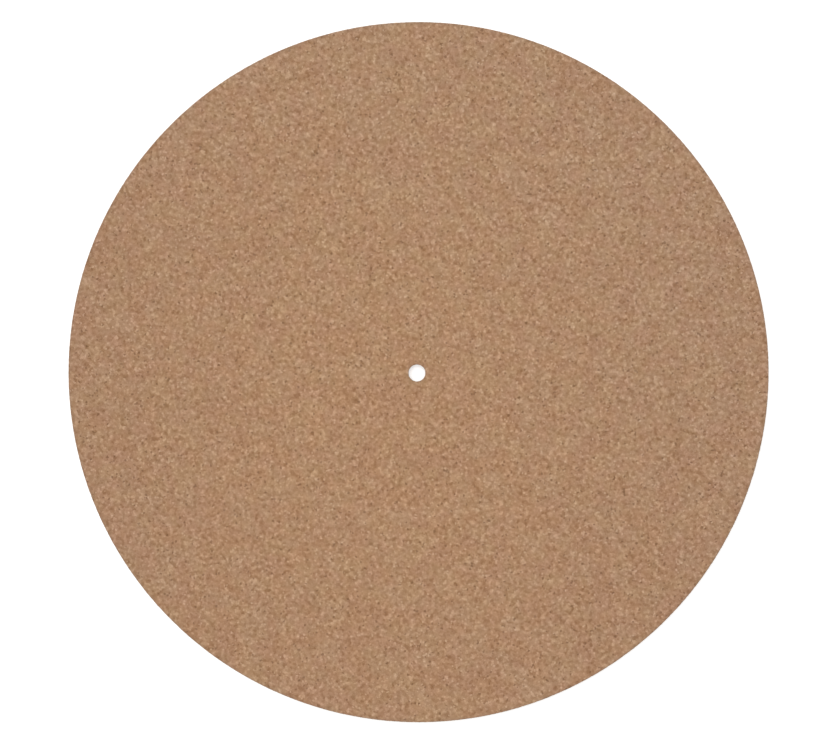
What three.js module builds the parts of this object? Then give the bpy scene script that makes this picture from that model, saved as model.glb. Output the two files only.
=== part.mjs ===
// Platter mat for a record turntable: one disc die-cut from a sheet of fine-grain agglomerated cork.
//
// The mat is a single piece. Its underside lies on the platter, the record lies on its top face, and
// the platter's spindle stands through the round hole punched in the middle. The cutting die enters
// from the top, so it rolls the top edges of the rim and of the hole over, and leaves the edges of
// the underside nearly sharp.
//
// Units are millimetres and +Z is up. The origin is the centre of the spindle hole on the underside.

import * as THREE from 'three';

// Driving dimensions
const matDiameter = 300;
const sheetThickness = 3;
const spindleDiameter = 7;
const spindleClearance = 0.1; // on the diameter, so that the mat drops over the spindle by itself
const rimRoll = 0.4; // radius of the rim's top edge, where the die enters the sheet
const holeRoll = 0.25; // radius of the hole's top edge, smaller because a punch cuts more cleanly
const underEdge = 0.15; // radius of both edges of the underside, where the die leaves the sheet

// Smoothness of the round surfaces
const segmentsRound = 192;
const arcPairs = 1; // each edge's quarter circle is drawn with two steps for one pair

// Finish, from the colour of the cork in plain light
const corkColour = 0xac8769;
const corkRoughness = 0.9;

// Sizes that follow from the ones above
const rimRadius = matDiameter / 2;
const holeRadius = (spindleDiameter + spindleClearance) / 2;
const quarterTurn = Math.PI / 2;

// The cut through the sheet from the hole's wall to the rim's wall: x is the distance from the
// spindle's axis and y is the height above the platter. It runs from the underside's outer edge
// up the rim, in over the top face, down the hole and back along the underside.
function sheetSection() {
  const section = new THREE.Path();
  const top = sheetThickness;
  section.absarc(rimRadius - underEdge, underEdge, underEdge, -quarterTurn, 0);
  section.absarc(rimRadius - rimRoll, top - rimRoll, rimRoll, 0, quarterTurn);
  section.absarc(holeRadius + holeRoll, top - holeRoll, holeRoll, quarterTurn, 2 * quarterTurn);
  section.absarc(holeRadius + underEdge, underEdge, underEdge, 2 * quarterTurn, 3 * quarterTurn);
  section.closePath();
  return section.getPoints(arcPairs);
}

// The section turned once round the spindle's axis. A lathe turns about +Y, so the disc is then
// laid down with its axis along +Z.
function corkDisc() {
  const disc = new THREE.LatheGeometry(sheetSection(), segmentsRound);
  disc.rotateX(quarterTurn);
  return disc;
}

function corkMaterial() {
  return new THREE.MeshStandardMaterial({ color: corkColour, roughness: corkRoughness, metalness: 0 });
}

const corkMat = new THREE.Mesh(corkDisc(), corkMaterial());
corkMat.name = 'cork_mat';

const platterMat = new THREE.Group();
platterMat.add(corkMat);

export default platterMat;
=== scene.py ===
# %% [markdown]
# A turntable's platter mat, die-cut from one sheet of fine-grain cork. This lesson dresses the
# measured part in Blender. A mat this plain is carried by three things: a true outline, the soft
# edges that a cutting die leaves, and cork that looks like cork at its real scale.
# The measured part comes in first and stays fixed, so that the new mesh can be built to its size.

# %% Load the measured part
import math

import bmesh
import bpy
import numpy as np
from mathutils import Matrix, Vector


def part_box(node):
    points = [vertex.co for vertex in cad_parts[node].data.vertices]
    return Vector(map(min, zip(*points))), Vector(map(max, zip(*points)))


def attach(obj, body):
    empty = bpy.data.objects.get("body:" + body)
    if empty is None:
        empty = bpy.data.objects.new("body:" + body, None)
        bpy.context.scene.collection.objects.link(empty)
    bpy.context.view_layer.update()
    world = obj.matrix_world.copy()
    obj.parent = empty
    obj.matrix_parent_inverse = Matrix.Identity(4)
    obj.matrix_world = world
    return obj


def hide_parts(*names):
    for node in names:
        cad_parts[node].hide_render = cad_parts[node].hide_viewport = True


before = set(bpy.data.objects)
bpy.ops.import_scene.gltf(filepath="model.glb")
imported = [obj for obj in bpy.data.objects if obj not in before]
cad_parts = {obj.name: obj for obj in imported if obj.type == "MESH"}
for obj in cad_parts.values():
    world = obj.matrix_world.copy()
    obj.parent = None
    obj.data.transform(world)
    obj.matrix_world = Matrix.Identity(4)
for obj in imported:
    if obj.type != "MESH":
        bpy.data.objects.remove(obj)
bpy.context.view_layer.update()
MM = 0.001

# %% [markdown]
# Everything is in metres, and the spindle's axis is the Z axis. The rim's radius and the sheet's
# thickness are read from the measured part, and so is the hole: its wall is the part of the mat
# that lies nearest to the axis. Only the radii of the four edges are written again, because a box
# doesn't show them.

# %% Sizes
low_corner, high_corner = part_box("cork_mat")
rim_radius = high_corner.x
thickness = high_corner.z - low_corner.z
hole_radius = min(vertex.co.xy.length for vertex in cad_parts["cork_mat"].data.vertices)
rim_roll = 0.4 * MM
hole_roll = 0.25 * MM
under_edge = 0.15 * MM
measures = (rim_radius, hole_radius, thickness)
print("rim, hole and thickness in mm:", [round(size / MM, 3) for size in measures])

# %% [markdown]
# The mat could be a cylinder with a hole cut by a boolean, but that leaves long thin triangles
# across the faces, which can't take any relief. Rings of vertices joined by bridges give even,
# square faces instead. A ring near the rim needs more vertices than one near the hole, so the
# number is doubled each time the faces would get wider than they are long. This cell plans the
# rings of one face, from the hole outwards.

# %% Plan the rings of a face
hole_count = 96
rim_count = 1536
edge_strip = 0.8 * MM
place_error = 0.05 * MM


def ring_plan(spacing):
    """Pairs of a count and a radius, from hole to rim. Where the count doubles, a ring is subdivided."""
    radius = hole_radius + edge_strip
    outermost = rim_radius - edge_strip
    count = hole_count
    plan = [(count, hole_radius), (count, radius)]
    while count < rim_count:
        doublings = round(math.log2(rim_count / count))
        radius = max(radius, min(spacing * count / math.tau, outermost - doublings * spacing))
        plan.append((count, radius))
        count = 2 * count
        radius = radius + spacing
        plan.append((count, radius))
    plan.append((count, outermost))
    plan.append((count, rim_radius))
    return plan


top_spacing = 1.6 * MM
under_spacing = 2.7 * MM
top_plan = ring_plan(top_spacing)
under_plan = ring_plan(under_spacing)
print("rings on top:", [(count, round(radius / MM, 1)) for count, radius in top_plan])
print("rings below:", [(count, round(radius / MM, 1)) for count, radius in under_plan])

# %% [markdown]
# Each ring is a circle primitive, added in edit mode at its own radius, so that all of them belong
# to one mesh. A new primitive comes in selected, and a bridge acts on all that is selected, so the
# helper that joins two rings first selects their vertices in code, by their place. A bridge between
# rings of unlike counts comes out ragged. Where the count doubles, the inner ring is subdivided
# once, and the bridge then joins two like rings.

# %% Helpers for rings
def select_rings(*rings):
    """Selects the vertices that lie on any of these rings, each a radius and a height."""
    edited = bmesh.from_edit_mesh(bpy.context.object.data)
    for vertex in edited.verts:
        distance = vertex.co.xy.length
        vertex.select = any(
            abs(distance - radius) < place_error and abs(vertex.co.z - height) < place_error
            for radius, height in rings
        )
    edited.select_flush_mode()
    bmesh.update_edit_mesh(bpy.context.object.data)


def add_ring(count, radius):
    """A bare circle round the spindle's axis, on the ground, added to the mesh that is being edited."""
    bpy.ops.mesh.select_all(action="DESELECT")
    bpy.ops.mesh.primitive_circle_add(vertices=count, radius=radius)


def join_rings(ring, other_ring, cuts=0):
    """Bridges two rings, each a radius and a height, with evenly spaced rings between them."""
    select_rings(ring, other_ring)
    bpy.ops.mesh.bridge_edge_loops(number_cuts=cuts, interpolation="LINEAR")


print("a vertex is on a ring within", round(place_error / MM, 3), "mm")

# %% [markdown]
# Both faces are built flat on the ground, where a bridge pairs the vertices of two level rings
# without a twist. The top face is made first and lifted to its height, and the underside follows
# below it. The two upright walls, the rim and the wall of the spindle hole, then close the disc.
# They stay without cuts for now, because the edges are rounded first.

# %% Build the disc
def build_face(plan, spacing):
    """One flat face of the mat on the ground, from the hole's ring to the rim's."""
    for (count, radius), (next_count, next_radius) in zip(plan[:-1], plan[1:]):
        if next_radius - radius < place_error:
            continue
        if next_count > count:
            select_rings((radius, 0))
            bpy.ops.mesh.subdivide(number_cuts=1, ngon=False)
        add_ring(next_count, next_radius)
        cuts = max(0, round((next_radius - radius) / spacing) - 1)
        join_rings((radius, 0), (next_radius, 0), cuts)


bpy.ops.object.select_all(action="DESELECT")
bpy.ops.mesh.primitive_circle_add(vertices=hole_count, radius=hole_radius)
cork_sheet = bpy.context.object
cork_sheet.name = "cork_sheet"
bpy.ops.object.mode_set(mode="EDIT")
bpy.ops.mesh.select_mode(type="VERT")
build_face(top_plan, top_spacing)
bpy.ops.mesh.select_all(action="SELECT")
bpy.ops.transform.translate(value=(0, 0, thickness))
add_ring(hole_count, hole_radius)
build_face(under_plan, under_spacing)
join_rings((rim_radius, 0), (rim_radius, thickness))
join_rings((hole_radius, 0), (hole_radius, thickness))
bpy.ops.mesh.select_all(action="SELECT")
bpy.ops.mesh.normals_make_consistent(inside=False)
bpy.ops.object.mode_set(mode="OBJECT")
print("flat disc:", len(cork_sheet.data.vertices), "vertices and", len(cork_sheet.data.polygons), "faces")

# %% [markdown]
# A steel rule cuts the mat out of its sheet from above. Cork gives way before it is cut, so the
# rule rolls the top edge over and leaves the lower edge almost sharp. The punch for the hole does
# the same on a smaller scale. A bevel along each ring of corner edges has just that form: its
# offset is the radius, its segments make the curve, and a profile of one half makes it round.

# %% Roll the edges over
round_profile = 0.5
bpy.ops.object.mode_set(mode="EDIT")
for radius, height, roll, steps in (
    (rim_radius, thickness, rim_roll, 5),
    (hole_radius, thickness, hole_roll, 4),
    (rim_radius, 0, under_edge, 3),
    (hole_radius, 0, under_edge, 3),
):
    select_rings((radius, height))
    bpy.ops.mesh.bevel(
        offset=roll, offset_type="OFFSET", segments=steps, profile=round_profile, affect="EDGES"
    )
bpy.ops.object.mode_set(mode="OBJECT")
print("with rolled edges:", len(cork_sheet.data.polygons), "faces")

# %% [markdown]
# The crumbs along a cut edge need small faces to sit on. Both walls are still one face high, so
# their upright edges are selected by their length and cut into bands about as high as the wall's
# faces are wide.

# %% Cut the walls into bands
wall_cuts = 7
bpy.ops.object.mode_set(mode="EDIT")
bpy.ops.mesh.select_all(action="DESELECT")
bpy.ops.mesh.select_mode(type="EDGE")
edited = bmesh.from_edit_mesh(cork_sheet.data)
for edge in edited.edges:
    edge.select = abs(edge.verts[0].co.z - edge.verts[1].co.z) > thickness / 2
bmesh.update_edit_mesh(cork_sheet.data)
bpy.ops.mesh.subdivide(number_cuts=wall_cuts)
bpy.ops.object.mode_set(mode="OBJECT")
print("with banded walls:", len(cork_sheet.data.polygons), "faces")

# %% [markdown]
# The finish is worked out from the place of each point, and needs no map. A flat map of the surface
# is laid out all the same, so that the mat can be painted or baked later. Both faces lie on one
# disc that nearly fills the map, because they will have the same grain. This cell reads the mesh as
# arrays: the place of each face corner, and the middle of the face that the corner belongs to.

# %% Read the corners of the faces
def read_numbers(collection, name, width, kind=float):
    """One property of every item of a mesh collection, as an array with one row for each item."""
    numbers = np.empty(width * len(collection), kind)
    collection.foreach_get(name, numbers)
    return numbers.reshape(-1, width) if width > 1 else numbers


mesh = cork_sheet.data
places = read_numbers(mesh.vertices, "co", 3)
corner = places[read_numbers(mesh.loops, "vertex_index", 1, int)]
corners_of_face = read_numbers(mesh.polygons, "loop_total", 1, int)
middle = np.repeat(read_numbers(mesh.polygons, "center", 3), corners_of_face, axis=0)

corner_distance = np.hypot(corner[:, 0], corner[:, 1])
middle_distance = np.hypot(middle[:, 0], middle[:, 1])
middle_angle = np.arctan2(middle[:, 1], middle[:, 0])
corner_angle = np.arctan2(corner[:, 1], corner[:, 0])
# A corner's angle may differ from its face's by a whole turn, which would wrap the face round
corner_angle = middle_angle + (corner_angle - middle_angle + math.pi) % math.tau - math.pi
print("face corners:", len(corner))

# %% [markdown]
# The rim is unrolled into four strips, one along each side of the map, and the wall of the hole
# into one strip in a corner, at twice the scale. Across a strip, a point's place is its height, plus
# what the rolled edge adds as it turns in over the face.

# %% Lay out the map
map_middle = 0.5
map_disc = 0.466
map_scale = map_disc / rim_radius
strip_middle = 0.484
hole_strip_scale = 2 * map_scale
hole_strip_start = (0.04, 0.06)

turn_in = np.where(corner[:, 2] > thickness / 2, 1, -1)
rim_across = corner[:, 2] - thickness / 2 + turn_in * (rim_radius - corner_distance)
hole_across = corner[:, 2] - thickness / 2 + turn_in * (corner_distance - hole_radius)

quarter_turn = math.pi / 2
side = np.round(middle_angle / quarter_turn) * quarter_turn
strip_out = strip_middle + rim_across * map_scale
strip_along = (corner_angle - side) * rim_radius * map_scale
rim_strip = np.stack(
    [
        map_middle + strip_out * np.cos(side) - strip_along * np.sin(side),
        map_middle + strip_out * np.sin(side) + strip_along * np.cos(side),
    ],
    axis=1,
)
hole_strip = np.stack(
    [
        hole_strip_start[0] + (corner_angle + math.pi) * hole_radius * hole_strip_scale,
        hole_strip_start[1] + hole_across * hole_strip_scale,
    ],
    axis=1,
)
on_rim = middle_distance > rim_radius - rim_roll
in_hole = middle_distance < hole_radius + hole_roll
surface_map = map_middle + corner[:, :2] * map_scale
surface_map[on_rim] = rim_strip[on_rim]
surface_map[in_hole] = hole_strip[in_hole]
layer = mesh.uv_layers.new(name="OFBake")
layer.data.foreach_set("uv", surface_map.ravel())
print("map spans", surface_map.min(0).round(3), "to", surface_map.max(0).round(3))

# %% [markdown]
# Granules tear out here and there where the sheet is cut, and the sanded faces are level to a few
# hundredths of a millimetre. Both are real relief. A Displace modifier moves vertices along their
# normals by the value of a procedural texture, and a vertex group says where. On the cuts a
# cellular texture sinks the seams between granules, and on the faces a cloudy one makes shallow
# hollows. The modifier's middle level is the end of the texture that stays in place, so nothing
# is raised, and the mat keeps its size and lies flat.

# %% Give the cork its relief
torn_size = 1.1 * MM
seam_depth = 0.14 * MM
hollow_size = 3.5 * MM
hollow_depth = 0.06 * MM
distance = np.hypot(places[:, 0], places[:, 1])
on_cut = distance > rim_radius - rim_roll + place_error
on_cut |= distance < hole_radius + hole_roll - place_error


def sink(name, where, kind, size, depth, deepest):
    """Sinks one zone along its normals. The texture's value named deepest, 0 or 1, sinks the most."""
    group = cork_sheet.vertex_groups.new(name=name)
    group.add(np.flatnonzero(where).tolist(), 1.0, "REPLACE")
    texture = bpy.data.textures.new(name, kind)
    texture.noise_scale = size
    modifier = cork_sheet.modifiers.new(name, "DISPLACE")
    modifier.texture = texture
    modifier.texture_coords = "LOCAL"
    modifier.vertex_group = name
    modifier.mid_level = 1 - deepest
    modifier.strength = depth * (1 - 2 * deepest)
    bpy.ops.object.modifier_apply(modifier=name)


sink("torn_seams", on_cut, "VORONOI", torn_size, seam_depth, 1)
sink("sanding_hollows", ~on_cut, "CLOUDS", hollow_size, hollow_depth, 0)
bpy.ops.object.shade_smooth()
places = read_numbers(cork_sheet.data.vertices, "co", 3)
distance = np.hypot(places[:, 0], places[:, 1])
below_roll = places[:, 2] < thickness - rim_roll
on_wall = (distance > rim_radius - rim_roll) & (places[:, 2] > under_edge) & below_roll
outline_radius = float(distance[on_wall].mean())
print("after relief, lowest corner in mm:", (places.min(0) / MM).round(3))
print("after relief, highest corner in mm:", (places.max(0) / MM).round(3))
print("mean radius of the torn rim in mm:", round(outline_radius / MM, 3))

# %% [markdown]
# The cork is made of nodes, and nodes are many, so a few short helpers keep the recipe readable:
# one adds a node with its settings and its inputs, and the others do arithmetic on numbers or on
# places, a soft step, a mix and a ramp. Colours are given as in a paint program, and Blender
# mixes them in linear light.

# %% Helpers for nodes
def srgb(red, green, blue):
    """A colour given as in a paint program, from 0 to 255, as the linear colour that Blender mixes."""
    linear = []
    for share in (red / 255, green / 255, blue / 255):
        linear.append(share / 12.92 if share <= 0.04045 else ((share + 0.055) / 1.055) ** 2.4)
    return (*linear, 1.0)


def add_node(tree, kind, inputs=(), **settings):
    """A new node. Each input is a socket's name or number, with a value or the socket that feeds it."""
    node = tree.nodes.new(kind)
    for name, value in settings.items():
        setattr(node, name, value)
    for name, value in dict(inputs).items():
        if isinstance(value, bpy.types.NodeSocket):
            tree.links.new(value, node.inputs[name])
        else:
            node.inputs[name].default_value = value
    return node


def calculate(tree, operation, *values):
    """One step of arithmetic on numbers, each a value or a socket."""
    return add_node(tree, "ShaderNodeMath", dict(enumerate(values)), operation=operation).outputs[0]


def calculate_places(tree, operation, *vectors, **numbers):
    """One step of arithmetic on places, each a vector or a socket. The result is a Vector or a Value."""
    inputs = {**dict(enumerate(vectors)), **numbers}
    return add_node(tree, "ShaderNodeVectorMath", inputs, operation=operation).outputs


def fade(tree, value, start, end):
    """Rises smoothly from 0 to 1 while the value goes from start to end."""
    inputs = {"Value": value, "From Min": start, "From Max": end}
    return add_node(tree, "ShaderNodeMapRange", inputs, interpolation_type="SMOOTHSTEP").outputs["Result"]


def mix_colours(tree, factor, first, second, blend="MIX"):
    """Mixes two colours, each a value or a socket. A mix node keeps its colours in sockets 6 and 7."""
    inputs = {0: factor, 6: first, 7: second}
    return add_node(tree, "ShaderNodeMix", inputs, data_type="RGBA", blend_type=blend).outputs[2]


def colour_ramp(tree, value, stops):
    """A colour for each value from 0 to 1, by stops of a position and a colour."""
    node = add_node(tree, "ShaderNodeValToRGB", {"Fac": value})
    elements = node.color_ramp.elements
    elements.remove(elements[1])
    elements[0].position = stops[0][0]
    elements[0].color = stops[0][1]
    for position, colour in stops[1:]:
        elements.new(position).color = colour
    return node.outputs["Color"]


print("the grey 128 is", round(srgb(128, 128, 128)[0], 3), "in linear light")

# %% [markdown]
# Agglomerated cork is bark ground to granules of less than a millimetre, pressed into a block with
# a little binder and sliced into sheets. The slice shows each granule as a small angular patch of
# its own brown. A picture of cork would do this, but a recipe that is worked out from each point's
# place has no seams and carries on over the edges. First comes the place itself in millimetres.
# The underside is given the same slice of grain as the top, so that both can share one map: above
# the lower edge, the height is counted down from the top face. Noise is built on a lattice, and a
# face that lies level in it looks faintly woven, so the grain is turned at odd angles to the mat.

# %% Place the grain
grain_turn = (math.radians(37), math.radians(23), math.radians(51))
cork = bpy.data.materials.new("fine_cork")
cork.use_nodes = True
tree = cork.node_tree
tree.nodes.clear()

place = add_node(tree, "ShaderNodeTexCoord").outputs["Object"]
parts = add_node(tree, "ShaderNodeSeparateXYZ", {0: place}).outputs
above_edge = calculate(tree, "GREATER_THAN", parts["Z"], under_edge)
grain_height = calculate(tree, "MULTIPLY_ADD", above_edge, -thickness, parts["Z"])
wrapped = add_node(tree, "ShaderNodeCombineXYZ", {0: parts["X"], 1: parts["Y"], 2: grain_height})
mat_place = calculate_places(tree, "SCALE", wrapped.outputs[0], Scale=1 / MM)["Vector"]
turned = {"Vector": mat_place, "Rotation": grain_turn}
grain_place = add_node(tree, "ShaderNodeVectorRotate", turned, rotation_type="EULER_XYZ").outputs[0]
print("the grain is counted in mm, and from the top face above", round(under_edge / MM, 2), "mm")

# %% [markdown]
# Voronoi cells are a good start for granules, but alone they look like cut stone. Granules are
# ragged, so the place is first pushed about by noise that is smaller than a granule. A cell then
# gives the middle of its granule, and a random colour, which holds three numbers: the first goes
# to the granule's tone, the second to what it is made of, and the third to its hue and its seam.
# A second set of the same cells gives the distance to the edge, where that seam is.

# %% Shape the granules
granule_size = 0.75
ragged_size = 0.6
ragged_by = 0.35
noise_middle = (0.5, 0.5, 0.5)


def noise(where, size, detail=2.0, distortion=0.0):
    """Cloudy noise whose blots are about this many millimetres wide. Distortion bends them into curls."""
    inputs = {"Vector": where, "Scale": 1 / size, "Detail": detail, "Distortion": distortion}
    return add_node(tree, "ShaderNodeTexNoise", inputs).outputs


def three_numbers(colour):
    """The three numbers that a colour holds."""
    return add_node(tree, "ShaderNodeSeparateColor", {0: colour}).outputs


ragged_noise = noise(grain_place, ragged_size)["Color"]
push = calculate_places(tree, "SUBTRACT", ragged_noise, noise_middle)["Vector"]
push = calculate_places(tree, "SCALE", push, Scale=ragged_by)["Vector"]
pushed = calculate_places(tree, "ADD", grain_place, push)["Vector"]
cells = {"Vector": pushed, "Scale": 1 / granule_size}
granules = add_node(tree, "ShaderNodeTexVoronoi", cells, feature="F1").outputs
granule_numbers = three_numbers(granules["Color"])
edges = add_node(tree, "ShaderNodeTexVoronoi", cells, feature="DISTANCE_TO_EDGE").outputs
seam_distance = edges["Distance"]
face_area = math.pi * (rim_radius**2 - hole_radius**2) / MM**2
print("a face shows about", round(face_area / granule_size**2, -3), "granules")

# %% [markdown]
# Ground bark doesn't lie evenly: light and dark granules gather in short bent streaks, which decide
# the look of fine cork from a step away. Noise that is distorted a little has such curls. Each
# granule takes its tone from the curls at its own middle, so that it has one brown and crisp edges,
# and a smaller share of the same curls runs on through the granules. Finer noise stands for the
# bark's own cells, and slow noise for lighter and darker handfuls. Noise keeps near the middle of
# its range, and so the streaks' shares of the tone are the largest. The seams are darker, because
# the binder shows there, on some granules more than on others. Even seams all over would look
# drawn. The whole is lifted a little to make up for them.

# %% Mix the tone
streak_size = 1.45
streak_detail = 0.2
streak_bend = 0.6
bark_size = 0.2
handful_size = 9.0
seam_width = 0.09
seam_share = 0.35
seam_makeup = 0.065
granule_streaks = noise(granules["Position"], streak_size, streak_detail, streak_bend)["Fac"]
running_streaks = noise(grain_place, streak_size, streak_detail, streak_bend)["Fac"]
bark = noise(grain_place, bark_size)["Fac"]
handful_numbers = three_numbers(noise(grain_place, handful_size)["Color"])
tone_shares = (
    (granule_streaks, 1.1),
    (running_streaks, 0.5),
    (granule_numbers[0], 0.15),
    (bark, 0.25),
    (handful_numbers[0], 0.35),
)
tone = 0.5 + seam_makeup - sum(share for source, share in tone_shares) / 2
for source, share in tone_shares:
    tone = calculate(tree, "MULTIPLY_ADD", source, share, tone)
seam = fade(tree, seam_distance, seam_width, 0.0)
seam = calculate(tree, "MULTIPLY", seam, granule_numbers[2])
tone = calculate(tree, "MULTIPLY_ADD", seam, -seam_share, tone)
seam_mm = round(seam_width * granule_size, 3)
print("the tone has", len(tone_shares), "shares, and a seam reaches", seam_mm, "mm into its granule")

# %% [markdown]
# A colour ramp turns tone into colour: most of it is tan, the darkest is bark, and the palest is
# clean cork, creamy and a little pink. Each stop lies a number of steps above or below the middle
# brown, and a step changes red, green and blue nearly alike, because that is how cork pales.

# %% Colour the granules
middle_brown = (172.1, 133.1, 100.4)
step = (10.15, 10.1, 10.2)
granule_stops = []
for position, steps in ((0.0, -2.6), (0.25, -1.0), (0.5, 0.0), (0.75, 1.0), (1.0, 2.6)):
    levels = [base + steps * change for base, change in zip(middle_brown, step)]
    granule_stops.append((position, srgb(*levels)))
    print("tone", position, "is the colour", [round(level) for level in levels])
granule_colour = colour_ramp(tree, tone, granule_stops)

# %% [markdown]
# Here and there a granule is a crumb of the bark's dark, woody pores, or of the palest cork. The
# second random number picks them out: a very low one means dark bark, and a very high one means
# pale cork. Whole granules change, so the crumbs have the same crisp edges as the rest.

# %% Scatter dark and pale crumbs
crumb_share = 0.02
dark_strength = 0.65
pale_strength = 0.55
dark_bark = srgb(122, 88, 60)
pale_cork = srgb(212, 176, 144)
is_dark = calculate(tree, "LESS_THAN", granule_numbers[1], crumb_share)
is_pale = calculate(tree, "GREATER_THAN", granule_numbers[1], 1 - crumb_share)
spotted = mix_colours(tree, calculate(tree, "MULTIPLY", is_dark, dark_strength), granule_colour, dark_bark)
spotted = mix_colours(tree, calculate(tree, "MULTIPLY", is_pale, pale_strength), spotted, pale_cork)
print("a face shows about", round(crumb_share * face_area / granule_size**2, -2), "dark crumbs")

# %% [markdown]
# Cork drifts in hue over a finger's width, because no two handfuls of granules are alike. The slow
# noise holds three numbers, as the cells do. The first already makes a handful lighter or darker,
# and now tints it pink or olive too. The second makes it warm or grey, and there each granule adds
# a little of its own.

# %% Let the hue drift
pink = (1.02, 0.994, 1.006, 1.0)
olive = (0.98, 1.006, 0.994, 1.0)
warm = (1.003, 1.0, 0.965, 1.0)
grey = (0.997, 1.0, 1.035, 1.0)
own_hue = 0.3
drift_low = 0.35
drift_high = 0.65
olive_share = fade(tree, handful_numbers[0], drift_low, drift_high)
grey_share = fade(tree, handful_numbers[1], drift_low, drift_high)
grey_share = calculate(tree, "SUBTRACT", grey_share, own_hue / 2)
grey_share = calculate(tree, "MULTIPLY_ADD", granule_numbers[2], own_hue, grey_share)
tinted = mix_colours(tree, 1.0, spotted, mix_colours(tree, olive_share, pink, olive), "MULTIPLY")
tinted = mix_colours(tree, 1.0, tinted, mix_colours(tree, grey_share, warm, grey), "MULTIPLY")
print("hue drifts by up to", round(100 * (grey[2] - 1), 1), "percent over", handful_size, "mm")

# %% [markdown]
# Over the whole mat there is a slower change, too faint to notice and missed when it isn't there.
# It is painted light and shade: the cork is painted lightest and warmest near the middle, with
# painted shade that makes it a little darker and greyer towards the left and right, and a painted
# cooler light towards the upper right. Each is a soft fade over the place on the face, counted in
# radii: the first over a stretched distance from the middle, and the second along a slant.

# %% Paint the light's falloff
radius_mm = rim_radius / MM
# Painted light and shade: a lighter, warmer middle and darker, greyer left and right sides
painted_light_middle_tint = (1.025, 1.020, 1.0, 1.0)
painted_shade_side_tint = (0.947, 0.952, 0.992, 1.0)
painted_falloff_stretch = (0.85, 0.55)
brightest_light_at = -0.1
# Painted cooler light towards the upper right
painted_cool_light_tint = (1.005, 1.031, 1.057, 1.0)
cool_light_side = math.radians(60)
cool_light_from = -0.4
stretch = (painted_falloff_stretch[0] / radius_mm, painted_falloff_stretch[1] / radius_mm, 0)
shift = (-brightest_light_at * painted_falloff_stretch[0], 0, 0)
falloff_place = calculate_places(tree, "MULTIPLY_ADD", mat_place, stretch, shift)["Vector"]
from_middle = calculate_places(tree, "LENGTH", falloff_place)["Value"]
painted_shade_share = fade(tree, from_middle, 0.0, 1.0)
# Painted shade towards the left and right, painted light in the middle
painted_falloff_colour = mix_colours(tree, painted_shade_share, painted_light_middle_tint, painted_shade_side_tint)
light_painted = mix_colours(tree, 1.0, tinted, painted_falloff_colour, "MULTIPLY")
slant = (math.cos(cool_light_side) / radius_mm, math.sin(cool_light_side) / radius_mm, 0)
along_slant = calculate_places(tree, "DOT_PRODUCT", mat_place, slant)["Value"]
# Painted cooler light, fading in along the slant towards the upper right
cool_light_painted = mix_colours(tree, fade(tree, along_slant, cool_light_from, 1.0), light_painted, painted_cool_light_tint, "MULTIPLY")
# The middle of the painted light lies left of the hole
print("the warmest cork lies", round(-brightest_light_at * radius_mm), "mm left of the hole")

# %% [markdown]
# Where the die rolled the edges over, the cork is pressed together, and it is rubbed by hands at
# the rim and by the metal spindle at the hole, so it is darker and greyer there. The plain
# distance from the axis says where that is.

# %% Wear the edges
worn_strip = 2.0
worn_tint = (0.90, 0.925, 0.955, 1.0)
flat_place = calculate_places(tree, "MULTIPLY", mat_place, (1, 1, 0))["Vector"]
axis_distance = calculate_places(tree, "LENGTH", flat_place)["Value"]
near_rim = fade(tree, axis_distance, radius_mm - worn_strip, radius_mm)
near_hole = fade(tree, axis_distance, hole_radius / MM + worn_strip, hole_radius / MM)
near_edge = calculate(tree, "MAXIMUM", near_rim, near_hole)
worn_colour = mix_colours(tree, near_edge, cool_light_painted, worn_tint, "MULTIPLY")
print("worn strips along the edges are", worn_strip, "mm wide")

# %% [markdown]
# The faces are sanded, so their relief is fine: each granule stands at its own level, its seam is
# a groove, the bark's cells make it rough, and the dark crumbs are sunk, because they are brittle
# and break out. The sum of these heights goes to a bump, because they are far smaller than a face
# of the mesh. Cork is matt all over, and pale granules are a little smoother than bark.

# %% Finish the cork
relief_height = 0.08 * MM
height_shares = (
    (granule_streaks, 0.6),
    (granule_numbers[0], 0.3),
    (bark, 0.7),
    (seam, -0.5),
    (is_dark, -0.4),
)
height = 0.0
for source, share in height_shares:
    height = calculate(tree, "MULTIPLY_ADD", source, share, height)
bump = add_node(tree, "ShaderNodeBump", {"Height": height, "Distance": relief_height})
darkest_roughness = 0.95
paler_smoother = -0.2
specular_level = 0.3
roughness = calculate(tree, "MULTIPLY_ADD", tone, paler_smoother, darkest_roughness)
finish = {
    "Base Color": worn_colour,
    "Roughness": roughness,
    "Normal": bump.outputs[0],
    "Specular IOR Level": specular_level,
}
shader = add_node(tree, "ShaderNodeBsdfPrincipled", finish)
add_node(tree, "ShaderNodeOutputMaterial", {"Surface": shader.outputs[0]})
cork_sheet.data.materials.append(cork)
print("the cork has", len(tree.nodes), "nodes")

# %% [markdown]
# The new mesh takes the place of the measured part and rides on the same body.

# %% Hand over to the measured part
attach(cork_sheet, "root")
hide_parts("cork_mat")
triangles = sum(len(face.vertices) - 2 for face in cork_sheet.data.polygons)
print("cork sheet:", triangles, "triangles")

# %% [markdown]
# The mat was photographed from straight above on plain white. The floor is pale, and its shader
# adds a plain glow for rays that come from the camera or from a reflection, so that it shows white
# while it lights nothing. The soft shadow at the rim stays, because only the glow is added to it.

# %% Lay the floor
floor_size = 8.0
floor_grey = 0.8
floor_glow = 0.47
bpy.ops.object.select_all(action="DESELECT")
bpy.ops.mesh.primitive_plane_add(size=floor_size, location=(0, 0, 0))
floor = bpy.context.object
floor.name = "floor"


def seen_directly(tree):
    """1 for rays from the camera, from a reflection or through glass, and 0 for rays that light things."""
    path = add_node(tree, "ShaderNodeLightPath")
    seen = calculate(tree, "MAXIMUM", path.outputs["Is Camera Ray"], path.outputs["Is Glossy Ray"])
    return calculate(tree, "MAXIMUM", seen, path.outputs["Is Transmission Ray"])


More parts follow.
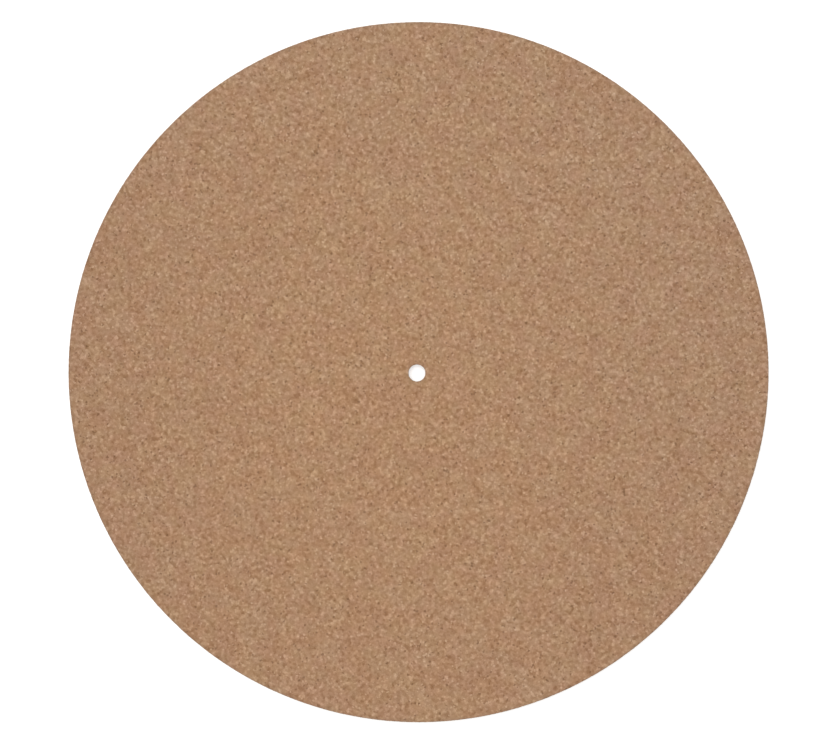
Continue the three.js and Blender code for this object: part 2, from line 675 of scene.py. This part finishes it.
pale = bpy.data.materials.new("pale_floor")
pale.use_nodes = True
pale.node_tree.nodes.clear()
floor_colour = (floor_grey, floor_grey, floor_grey, 1.0)
matt = add_node(pale.node_tree, "ShaderNodeBsdfDiffuse", {"Color": floor_colour})
glow_strength = calculate(pale.node_tree, "MULTIPLY", seen_directly(pale.node_tree), floor_glow)
glow = add_node(pale.node_tree, "ShaderNodeEmission", {"Strength": glow_strength})
glowing = add_node(pale.node_tree, "ShaderNodeAddShader", {0: matt.outputs[0], 1: glow.outputs[0]})
add_node(pale.node_tree, "ShaderNodeOutputMaterial", {"Surface": glowing.outputs[0]})
floor.data.materials.append(pale)
print("the floor is white in light of more than", round((1 - floor_glow) / floor_grey, 2))

# %% [markdown]
# The light is that of a white room with one very large softbox. The world gives most of it, evenly
# from all sides, and a sun lamp with a wide angle gives the rest, because a softbox far away lights
# every part of a flat thing alike. Together they light a level surface so that a colour comes out
# as it is written.

# %% Set the light
world_light = 0.62
sun_share = 1 - world_light
sun_height = math.radians(66)
sun_from = math.radians(125)
sun_width = math.radians(50)
world = bpy.data.worlds.new("white_room")
world.use_nodes = True
world.node_tree.nodes.clear()
seen = seen_directly(world.node_tree)
world_strength = calculate(world.node_tree, "MULTIPLY_ADD", seen, 1 - world_light, world_light)
white = {"Color": (1.0, 1.0, 1.0, 1.0), "Strength": world_strength}
sky = add_node(world.node_tree, "ShaderNodeBackground", white)
add_node(world.node_tree, "ShaderNodeOutputWorld", {"Surface": sky.outputs[0]})
bpy.context.scene.world = world

bpy.ops.object.light_add(type="SUN", location=(0, 0, 1))
softbox = bpy.context.object
softbox.name = "softbox"
softbox.data.angle = sun_width
softbox.data.energy = math.pi * sun_share / math.sin(sun_height)
softbox.rotation_euler = (math.pi / 2 - sun_height, 0, sun_from + math.pi / 2)
bpy.context.scene.view_settings.view_transform = "Standard"
print("the softbox has a strength of", round(softbox.data.energy, 3))

# %% [markdown]
# In the photograph the hole lies a little to the left of the disc's middle and below it, though a
# die cuts it in the centre. That is what perspective does when the camera leans: the middle of a
# circle's picture moves away from the picture of its centre. The lean and its direction are worked
# out from that shift, which grows with the disc's size, with the lean and with how near the camera
# is. Places in the picture are counted from the middle of its first pixel, and so half a pixel is
# taken off where they are set against the picture's size.

# %% Aim the camera
frame_width = 830
frame_height = 747
disc_middle_px = (418.05, 371.62)
disc_radius_px = 350.1
hole_middle_px = (416.37, 372.54)
camera_distance = 0.7
sensor_width = 36.0
half_pixel = 0.5

shift_right = disc_middle_px[0] - hole_middle_px[0]
shift_up = hole_middle_px[1] - disc_middle_px[1]
lean = math.asin(math.hypot(shift_right, shift_up) * camera_distance / (disc_radius_px * rim_radius))
lean_direction = math.atan2(shift_up, shift_right)
pixels_per_metre = disc_radius_px / outline_radius
aim_right = (frame_width / 2 - half_pixel - hole_middle_px[0]) / pixels_per_metre
aim_up = (hole_middle_px[1] - frame_height / 2 + half_pixel) / pixels_per_metre
aim = Vector((aim_right, aim_up, thickness - rim_roll))
sideways = Vector((math.cos(lean_direction), math.sin(lean_direction), 0))
towards_camera = math.sin(lean) * sideways + math.cos(lean) * Vector((0, 0, 1))
bpy.ops.object.camera_add(location=aim + camera_distance * towards_camera)
camera = bpy.context.object
camera.name = "camera"
camera.data.sensor_width = sensor_width
camera.data.lens = sensor_width * pixels_per_metre * camera_distance / frame_width
right = Vector((0, 1, 0)).cross(towards_camera).normalized()
upwards = towards_camera.cross(right)
camera.rotation_euler = Matrix((right, upwards, towards_camera)).transposed().to_euler()
bpy.context.scene.camera = camera
print("camera leans", round(math.degrees(lean), 2), "degrees, lens", round(camera.data.lens, 2), "mm")
